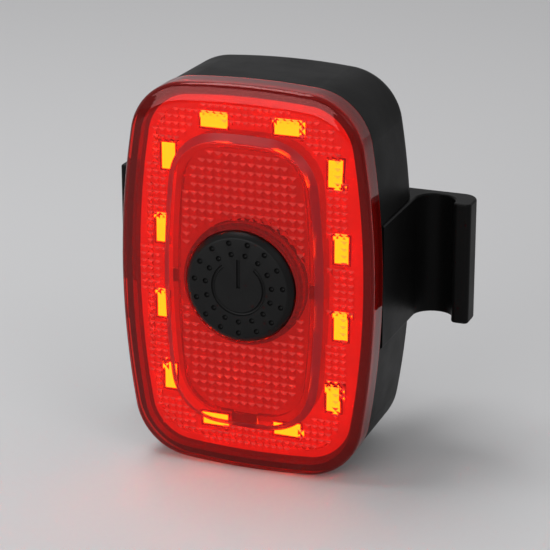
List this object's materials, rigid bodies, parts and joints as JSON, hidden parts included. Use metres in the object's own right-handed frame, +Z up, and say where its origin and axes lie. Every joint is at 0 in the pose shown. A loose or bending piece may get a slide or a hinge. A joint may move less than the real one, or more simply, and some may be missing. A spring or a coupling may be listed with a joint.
{
  "type": "bicycle rear light",
  "caption": "Red bicycle tail light: lens with raised window and push button, black housing, strap hooks at its sides and a rubber saddle for the seat post.",
  "frame": {"origin": "under the middle of the light, at the level of its lowest edge", "axes": "+Z up, +Y from the lit face back to the seat post, +X to the right of someone who faces the lit face"},
  "size_m": [0.0552, 0.0334, 0.0578],
  "materials": {
    "lens_red": "clear moulded red, polished",
    "gasket_black": "soft matt seal",
    "housing_black": "satin moulded black",
    "bracket_black": "satin moulded black",
    "pad_rubber": "ribbed matt rubber",
    "button_rubber": "matt rubber with dimples",
    "cover_rubber": "matt rubber",
    "inner_plastic": "plain moulded black",
    "screw_steel": "dark plated",
    "contact_metal": "tinned",
    "port_steel": "bright plated",
    "reflector_white": "bright white",
    "led_body": "white moulded",
    "led_phosphor": "amber, lit",
    "board_green": "varnished board",
    "chip_black": "moulded resin",
    "capacitor_tan": "fired ceramic",
    "resistor_dark": "glazed film on ceramic",
    "socket_cream": "moulded nylon",
    "lead_red": "soft insulation",
    "lead_black": "soft insulation",
    "cell_silver": "foil pouch",
    "foam_grey": "open foam"
  },
  "bodies": {
    "light": {"front_lens": "lens_red", "lens_gasket": "gasket_black", "rear_housing": "housing_black", "strap_bracket": "bracket_black", "bracket_screws": "screw_steel", "saddle_pad": "pad_rubber", "button_retainer": "reflector_white", "switch_body": "chip_black", "switch_cover": "contact_metal", "switch_legs": "contact_metal", "reflector_plate": "reflector_white", "led_packages": "led_body", "led_phosphor": "led_phosphor", "main_board": "board_green", "chip_resistors": "resistor_dark", "chip_capacitors": "capacitor_tan", "driver_chip": "chip_black", "driver_legs": "contact_metal", "battery_socket": "socket_cream", "battery_lead_red": "lead_red", "battery_lead_black": "lead_black", "battery_guard_board": "board_green", "battery_cell": "cell_silver", "battery_foam": "foam_grey", "charge_board": "board_green", "charge_chip": "chip_black", "charge_board_screws": "screw_steel", "board_connector": "inner_plastic", "board_connector_pins": "contact_metal", "usb_shell": "port_steel", "usb_tongue": "inner_plastic", "port_cover_root": "cover_rubber"},
    "button": {"button_cap": "button_rubber", "button_plunger": "inner_plastic"},
    "switch_stem": {"switch_stem": "inner_plastic"},
    "port_cover": {"port_cover": "cover_rubber"}
  },
  "joints": [
    {"name": "button_press", "type": "slide", "parent": "light", "child": "button", "axis": [0, 1, 0], "range_m": [0, 0.0005], "stiffness_N_per_m": 3000},
    {"name": "switch_stem_travel", "type": "slide", "parent": "light", "child": "switch_stem", "axis": [0, 1, 0], "range_m": [0, 0.0005]},
    {"name": "port_cover_hinge", "type": "hinge", "parent": "light", "child": "port_cover", "pos_m": [0, 0.00133, 0.00068], "axis": [1, 0, 0], "range_deg": [0, 110]}
  ],
  "couplings": [
    {"joint": "switch_stem_travel", "follows": "button_press", "ratio": 1}
  ]
}
